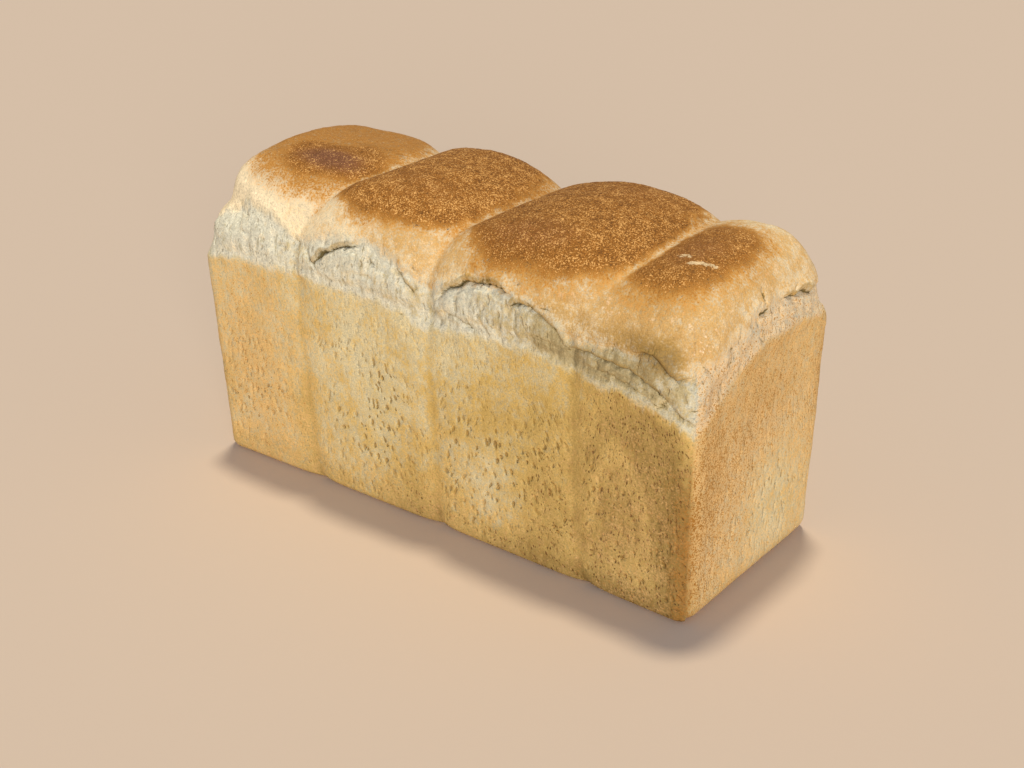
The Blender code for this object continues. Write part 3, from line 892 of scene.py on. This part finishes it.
def crustReliefTree():
    tree, given = newTree("crust_relief", crustRelief)
    mask = {}
    kinds = {"holes": "FLOAT", "band": "FLOAT", "bake": "FLOAT", "grain": "FLOAT_VECTOR"}
    for name, kind in kinds.items():
        named = {"Name": name}
        mask[name] = addNode(tree, "GeometryNodeInputNamedAttribute", named, data_type=kind)
    place = addNode(tree, "GeometryNodeInputPosition")
    wide, long = given["Pore width"], given["Pore length"]
    pore = holePattern(tree, "pore", mask["grain"], place, wide, long)
    wide, long = given["Cavity width"], given["Cavity length"]
    cavity = holePattern(tree, "cavity", mask["grain"], place, wide, long)

    # upright fibres in the stretched band, and grain all over that is strongest on the brown
    shifted = {0: place, 1: (fineForm["offLattice"],) * 3}
    place = addNode(tree, "ShaderNodeVectorMath", shifted)
    drawn = {0: place, 1: (1, 1, fineForm["fibreStretch"])}
    drawn = addNode(tree, "ShaderNodeVectorMath", drawn, operation="MULTIPLY")
    noises = []
    for where, size in ((drawn, "Fibre width"), (place, "Grain size")):
        scale = addNode(tree, "ShaderNodeMath", {0: 1 / mm, 1: given[size]}, operation="DIVIDE")
        wave = {"Vector": where, "Scale": scale, "Detail": fineForm["octaves"][size]}
        wave = addNode(tree, "ShaderNodeTexNoise", wave)
        noises.append(addNode(tree, "ShaderNodeMath", {0: wave, 1: 0.5}, operation="SUBTRACT"))
    browned = {0: mask["bake"], 1: fineForm["grainLeast"], 2: fineForm["grainLeast"]}
    browned = addNode(tree, "ShaderNodeMath", browned, operation="MULTIPLY_ADD")

    height = 0.0
    for wave, strength, relief, sign in (
        (pore, mask["holes"], "Pore depth", -mm),
        (cavity, mask["band"], "Cavity depth", -mm),
        (noises[0], mask["band"], "Fibre relief", 2 * mm),
        (noises[1], browned, "Grain relief", 2 * mm),
    ):
        amount = addNode(tree, "ShaderNodeMath", {0: given[relief], 1: sign}, operation="MULTIPLY")
        local = addNode(tree, "ShaderNodeMath", {0: wave, 1: strength}, operation="MULTIPLY")
        height = {0: local, 1: amount, 2: height}
        height = addNode(tree, "ShaderNodeMath", height, operation="MULTIPLY_ADD")
    start, full = fineForm["offBase"]
    level = addNode(tree, "ShaderNodeSeparateXYZ", {0: place}, 2)
    offBase = {"Value": level, "From Min": start, "From Max": full}
    offBase = addNode(tree, "ShaderNodeMapRange", offBase)
    height = addNode(tree, "ShaderNodeMath", {0: height, 1: offBase}, operation="MULTIPLY")
    normal = addNode(tree, "GeometryNodeInputNormal")
    offset = {0: normal, "Scale": height}
    offset = addNode(tree, "ShaderNodeVectorMath", offset, operation="SCALE")
    shaped = {"Geometry": given["Geometry"], "Offset": offset}
    shaped = addNode(tree, "GeometryNodeSetPosition", shaped)
    real = addNode(tree, "GeometryNodeRealizeInstances", {"Geometry": shaped})
    coated = {"Geometry": real, "Material": given["Material"]}
    coated = addNode(tree, "GeometryNodeSetMaterial", coated)
    addNode(tree, "NodeGroupOutput", {0: coated})
    return tree


# Wholemeal crust: browned, starch-gelled dough with bran in it. Dry and matt, with hardly a
# sheen on the brown, golden where it lay against the tin and cream where it stretched.
crustFinish = {
    "base": "#e2cf9c",
    # size in mm, octaves, roughness and stretch, under 1 drawn out upwards. Real flour and
    # bran dust are finer than the grain and speck, which are as coarse as they need to show
    "patterns": {
        "grain": (0.95, 1.0, 0.6, 1.0),
        "speck": (0.52, 0.6, 0.6, 1.0),
        "mottle": (5.0, 3.5, 0.65, 1.0),
        "streak": (2.6, 3.0, 0.65, 0.4),
        "fibre": (2.0, 3.0, 0.6, 0.2),
    },
    "offLattice": 0.37,  # sizes that each pattern is shifted by, off the noise's lattice
    "finePores": (1.5, 2.3),  # width and length, mm
    "coats": (  # colour, what it lies on, start, full, strength, patterns that break it up
        ("#cea95d", "tone", 0.0, 1.1, 1.0, {"mottle": 1.6, "streak": 1.4, "grain": 1.1}),
        ("#84662c", "tone", 0.9, 2.2, 1.0, {"mottle": 1.7, "streak": 1.5, "grain": 1.3}),
        ("#e6dab0", "tone", 0.25, -0.9, 0.6, {"streak": 1.4, "grain": 1.6, "mottle": 1.4}),
        # painted shade: olive over the porous places for their tiny holes, and darker in the pits
        # and pores that the bump also sinks
        ("#b5a05c", "holes", 0.3, 1.6, 0.25, {"grain": 1.6, "mottle": 1.4}),
        ("#704718", "finePore", 0.15, 0.9, 0.85, {"mottle": 0.7}),
        ("#96702f", "pore", 0.1, 0.9, 0.75, {"grain": 0.7}),
        ("#dfd5b4", "band", 0.1, 0.85, 1.0, {"mottle": 0.9, "fibre": 1.2}),
        ("#e8c994", "band", 1.05, 1.6, 0.45, {"mottle": 2.2, "streak": 1.4}),
        # dark streaks along the fibres where the band is creased: painted shade in the creases
        ("#a39365", "band", 1.12, 1.5, 0.6, {"fibre": 2.4, "grain": 1.0}),
        ("#dbd1b0", "fresh", 0.4, 1.0, 0.6, {"fibre": 1.8}),
        # painted shade on the band, olive and darker, most towards the near corner
        ("#c4ad78", "dun", 0.0, 1.1, 0.95, {"mottle": 2.6, "fibre": 1.6, "grain": 1.0}),
        ("#857249", "dun", 0.85, 1.6, 0.65, {"mottle": 1.2, "fibre": 2.2, "grain": 1.6}),
        ("#f0c07c", "warm", 0.1, 1.6, 0.8, {"mottle": 1.2, "grain": 1.4}),
        ("#9a6725", "warm", 1.05, 1.9, 0.85, {"speck": 2.8, "grain": 2.6, "streak": 1.6}),
        ("#93601f", "edge", 0.05, 1.3, 0.75,
         {"grain": 1.6, "speck": 1.4, "streak": 0.9, "mottle": 0.8}),
        # painted shade in the band's cavities
        ("#a08650", "cavity", 0.2, 0.9, 0.3, {"grain": 0.6}),
        ("#f8dfaf", "crown", 0.0, 0.9, 1.0, {"mottle": 0.9, "streak": 0.7}),
        ("#d0a461", "shoulder", 0.0, 1.0, 1.0, {"mottle": 1.7, "streak": 1.1, "grain": 1.3}),
        ("#ae7a3c", "shoulder", 0.85, 1.6, 0.6, {"mottle": 1.6, "streak": 1.3, "grain": 2.2}),
        ("#f4e2bc", "crown", 1.15, 1.6, 0.45, {"streak": 2.2, "grain": 1.2}),
        # painted shade on the front shoulder above the big tear, olive and darker
        ("#98763a", "dusk", 0.05, 1.3, 0.85, {"mottle": 1.0, "streak": 0.8, "grain": 1.2}),
        ("#c98f42", "bake", 0.0, 0.68, 1.0,
         {"mottle": 0.6, "streak": 0.4, "grain": 0.9, "speck": 0.4}),
        ("#99601f", "bake", 0.36, 1.0, 1.0, {"mottle": 0.7, "grain": 1.2, "speck": 1.2}),
        ("#714736", "scorch", 0.15, 1.1, 0.75, {"mottle": 0.6, "grain": 0.8}),
        ("#d39e58", "toast", 0.95, 1.8, 0.9, {"speck": 3.6, "grain": 1.6, "mottle": 1.8}),
        ("#673b14", "toast", 0.95, 1.8, 0.78, {"speck": -3.6, "grain": -1.6, "mottle": -1.8}),
        ("#dfc08c", "scuff", 0.3, 0.75, 0.9, {"grain": 1.0}),
        ("#a98a4c", "lip", 0.3, 1.0, 0.6, {"grain": 1.0, "mottle": 1.0}),
        # painted shade in the gaps of the tears and cracks
        ("#665527", "gap", 0.4, 0.85, 0.95, {"grain": 0.7}),
    ),
    "speckledFrom": 0.24,  # how baked the crust is where its speckle begins
    "scorchedSpeckle": -0.3,  # scorched crust has less of it
    "gate": 4.0,  # a coat is broken up fully where its mask is above 1 over this
    "brightness": {"grain": 0.85, "speck": 0.55, "streak": 0.5, "mottle": 0.4},
    "relief": {  # mm
        "grain": 0.22, "speck": 0.12, "streak": 0.2,
        "pore": -0.5, "finePore": -0.2, "cavity": -0.3,
    },
    "shader": {"Roughness": 0.85, "IOR": 1.45, "Specular IOR Level": 0.2, "Metallic": 0.0},
}


def addUp(tree, total, source, amounts):
    # the total with each named pattern on top, times its amount
    for name, amount in amounts.items():
        total = {0: source[name], 1: amount, 2: total}
        total = addNode(tree, "ShaderNodeMath", total, operation="MULTIPLY_ADD")
    return total


def crustMaterial():
    material, shader = newMaterial("wholemeal_crust", crustFinish["shader"])
    tree = material.node_tree
    place = addNode(tree, "ShaderNodeTexCoord", output="Object")
    grain = addNode(tree, "ShaderNodeAttribute", output="Vector", attribute_name="grain")
    source = {}
    masks = "bake scorch band dun tone warm tan holes pits edge dusk gap lip fresh scuff crown"
    for name in masks.split():
        source[name] = addNode(tree, "ShaderNodeAttribute", output="Fac", attribute_name=name)
    for name, (size, octaves, rough, stretch) in crustFinish["patterns"].items():
        shift = (crustFinish["offLattice"] * size * mm,) * 3
        drawn = {0: place, 1: (1, 1, stretch), 2: shift}
        drawn = addNode(tree, "ShaderNodeVectorMath", drawn, operation="MULTIPLY_ADD")
        noises = {"Vector": drawn, "Scale": 1 / (size * mm), "Detail": octaves, "Roughness": rough}
        noises = addNode(tree, "ShaderNodeTexNoise", noises)
        source[name] = addNode(tree, "ShaderNodeMath", {0: noises, 1: 0.5}, operation="SUBTRACT")
    pores = (
        ("pore", "holes", crustRelief["Pore width"], crustRelief["Pore length"]),
        ("cavity", "band", crustRelief["Cavity width"], crustRelief["Cavity length"]),
        ("finePore", "pits", *crustFinish["finePores"]),
    )
    for name, where, width, length in pores:
        holes = {0: holePattern(tree, name, grain, place, width, length), 1: source[where]}
        source[name] = addNode(tree, "ShaderNodeMath", holes, operation="MULTIPLY")
    shoulder = {0: source["crown"], 1: source["tan"]}
    source["shoulder"] = addNode(tree, "ShaderNodeMath", shoulder, operation="MULTIPLY")
    browned = {"Value": source["bake"], "From Min": crustFinish["speckledFrom"]}
    browned = addNode(tree, "ShaderNodeMapRange", browned)
    toast = {0: source["scorch"], 1: crustFinish["scorchedSpeckle"], 2: browned}
    source["toast"] = addNode(tree, "ShaderNodeMath", toast, operation="MULTIPLY_ADD")

    colour = toLinear(crustFinish["base"])
    for coat, where, start, full, strength, broken in crustFinish["coats"]:
        uneven = addUp(tree, 0.0, source, broken)
        gate = {0: source[where], 1: crustFinish["gate"]}
        gate = addNode(tree, "ShaderNodeMath", gate, operation="MULTIPLY", use_clamp=True)
        level = {0: uneven, 1: gate, 2: source[where]}
        level = addNode(tree, "ShaderNodeMath", level, operation="MULTIPLY_ADD")
        cover = {"Value": level, "From Min": start, "From Max": full, "To Max": strength}
        cover = addNode(tree, "ShaderNodeMapRange", cover, interpolation_type="SMOOTHSTEP")
        colour = {0: cover, 6: colour, 7: toLinear(coat)}
        colour = addNode(tree, "ShaderNodeMix", colour, 2, data_type="RGBA")
    lit = {0: colour, "Scale": addUp(tree, 1.0, source, crustFinish["brightness"])}
    lit = addNode(tree, "ShaderNodeVectorMath", lit, operation="SCALE")
    tree.links.new(lit, shader.inputs["Base Color"])
    height = addUp(tree, 0.0, source, crustFinish["relief"])
    raised = addNode(tree, "ShaderNodeBump", {"Height": height, "Strength": 1.0, "Distance": mm})
    tree.links.new(raised, shader.inputs["Normal"])
    return material


def crustForm():
    # the torn loaf on its fine grid, with its masks as attributes
    start, faces = boxGrid()
    starts, ways = raysFromCore(start)
    surface = castOntoLoaf(starts, ways)
    print("crust: smooth form cast,", len(surface), "points")
    z = surface[:, 2]
    wander = noiseField(surface, joints["wanderSize"], "wander")
    courses = jointCourses(surface, wander)
    low, high = bandLines(wayRound(surface))
    free = fadeFrom(loaf["rimHeight"], loaf["unevenFrom"], z)
    swell = noiseField(surface, loaf["swellSize"], "swell")
    relief = swell * (loaf["wallSwell"] + (loaf["crownUnevenness"] - loaf["wallSwell"]) * free)
    relief += noiseField(surface, loaf["lumpSize"], "lumps") * loaf["lumpRelief"]
    inBand = smoothStep(low - band["edge"], low + band["edge"], z)
    inBand *= 1 - smoothStep(high - band["edge"], high + band["edge"], z)
    fibreSize = (band["fibreWidth"], band["fibreWidth"], band["fibreLength"])
    fibres = noiseField(surface, fibreSize, "fibres")
    relief += inBand * (band["fibreRelief"] * fibres - band["recess"])
    relief -= farStep(surface)
    torn, marks = tearTheCrust(surface, ways)
    offBase = smoothStep(0.0, loaf["endBaseEdge"], z)
    points = surface + (ways * relief[:, None] + torn) * offBase[:, None]
    atEdge = smoothStep(-joints["footReach"], 0, np.abs(surface[:, 1]) - halfWide)
    grooves = jointGrooves(surface, courses) * np.maximum(offBase, atEdge)
    points -= ways * grooves[:, None]
    past = np.maximum(np.abs(points[:, 1]) - loaf["flankLimit"], 0)
    points[:, 1] -= np.sign(points[:, 1]) * past * loaf["flankPress"]
    lowest, highest = points.min(axis=0), points.max(axis=0)
    points -= ((lowest[0] + highest[0]) / 2, (lowest[1] + highest[1]) / 2, lowest[2])
    mesh = bpy.data.meshes.new("crust_form")
    mesh.from_pydata(points, [], faces)
    mesh.shade_smooth()
    for name, values in crustMasks(surface, courses, low, high, marks).items():
        mask = mesh.attributes.new(name, "FLOAT", "POINT")
        mask.data.foreach_set("value", values.astype(np.float32))
    grain = mesh.attributes.new("grain", "FLOAT_VECTOR", "POINT")
    grain.data.foreach_set("vector", grainCoordinates(surface, courses).astype(np.float32).ravel())
    print("crust: torn and masked")
    return newObject("crust_form", mesh)


def buildCrust(material):
    form = crustForm()
    fine = applyTree(form, crustReliefTree(), crustRelief, material, "loaf_fine")
    thinner = fine.modifiers.new("Decimate", "DECIMATE")
    thinner.ratio = crustMesh["mostTriangles"] / (2 * len(fine.data.polygons))
    mesh = shownMesh(fine, "loaf_crust")
    mesh.shade_smooth()
    crust = newObject("loaf_crust", mesh)
    bpy.data.objects.remove(form)
    bpy.data.objects.remove(fine)
    print("crust:", len(mesh.polygons), "faces")
    return crust


crust = buildCrust(crustMaterial())
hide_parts("loaf")
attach(crust, "root")

# Camera fitted to the outline, distances in mm and angles in degrees
viewpoint = {
    "azimuth": 38.48,
    "elevation": 25.27,
    "roll": -0.89,
    "distance": 672.51,
    "target": (3.75, 3.09, 50.24),
    "lens": 52.97,
    "sensor": 36.0,
    "clipStart": 10,
}


def wayTo(azimuth, elevation):
    # unit vector towards what stands at that azimuth and elevation, in degrees
    a, e = math.radians(azimuth), math.radians(elevation)
    return Vector((math.sin(a) * math.cos(e), -math.cos(a) * math.cos(e), math.sin(e)))


def buildCamera():
    azimuth, roll = math.radians(viewpoint["azimuth"]), math.radians(viewpoint["roll"])
    back = wayTo(viewpoint["azimuth"], viewpoint["elevation"])
    right = Vector((math.cos(azimuth), math.sin(azimuth), 0))
    up = back.cross(right)
    across = math.cos(roll) * right + math.sin(roll) * up
    upward = math.cos(roll) * up - math.sin(roll) * right
    eye = (Vector(viewpoint["target"]) + back * viewpoint["distance"]) * mm
    lens = bpy.data.cameras.new("camera")
    lens.lens, lens.sensor_width = viewpoint["lens"], viewpoint["sensor"]
    lens.clip_start = viewpoint["clipStart"] * mm
    camera = newObject("camera", lens)
    rows = [[across[i], upward[i], back[i], eye[i]] for i in range(3)]
    camera.matrix_world = Matrix(rows + [[0, 0, 0, 1]])
    bpy.context.scene.camera = camera


# Plain pale studio: a soft light from above and behind, and a broad low one from the front.
# The floor is matt paper, uncoated, which gives no gloss.
studio = {
    "floor": "#d3bca2",
    "floorSize": 8.0,
    "floorShader": {"Roughness": 1.0, "Specular IOR Level": 0.0},
    "world": "#cfdeff",
    "worldStrength": 0.37,
    "lights": (  # name, colour, strength, softness in degrees, azimuth it comes from, elevation
        ("key_above", "#fff8ea", 1.93, 7, 213, 80),
        ("fill_front", "#f5f7ff", 2.56, 30, 44, 15),
    ),
}


def buildStudio():
    size = studio["floorSize"] / 2
    corners = [(-size, -size, 0), (size, -size, 0), (size, size, 0), (-size, size, 0)]
    mesh = bpy.data.meshes.new("floor")
    mesh.from_pydata(corners, [], [(0, 1, 2, 3)])
    floor = newObject("floor", mesh)
    paper, shader = newMaterial("matt_paper", studio["floorShader"])
    shader.inputs["Base Color"].default_value = toLinear(studio["floor"])
    mesh.materials.append(paper)
    world = bpy.data.worlds.new("studio")
    world.use_nodes = True
    background = world.node_tree.nodes["Background"]
    background.inputs["Color"].default_value = toLinear(studio["world"])
    background.inputs["Strength"].default_value = studio["worldStrength"]
    bpy.context.scene.world = world
    for name, colour, strength, softness, azimuth, elevation in studio["lights"]:
        lamp = bpy.data.lights.new(name, "SUN")
        lamp.energy, lamp.angle = strength, math.radians(softness)
        lamp.color = toLinear(colour)[:3]
        light = newObject(name, lamp)
        light.rotation_euler = wayTo(azimuth, elevation).to_track_quat("Z", "Y").to_euler()
    bpy.context.scene.view_settings.view_transform = "Standard"


buildCamera()
buildStudio()
print("studio: ready")
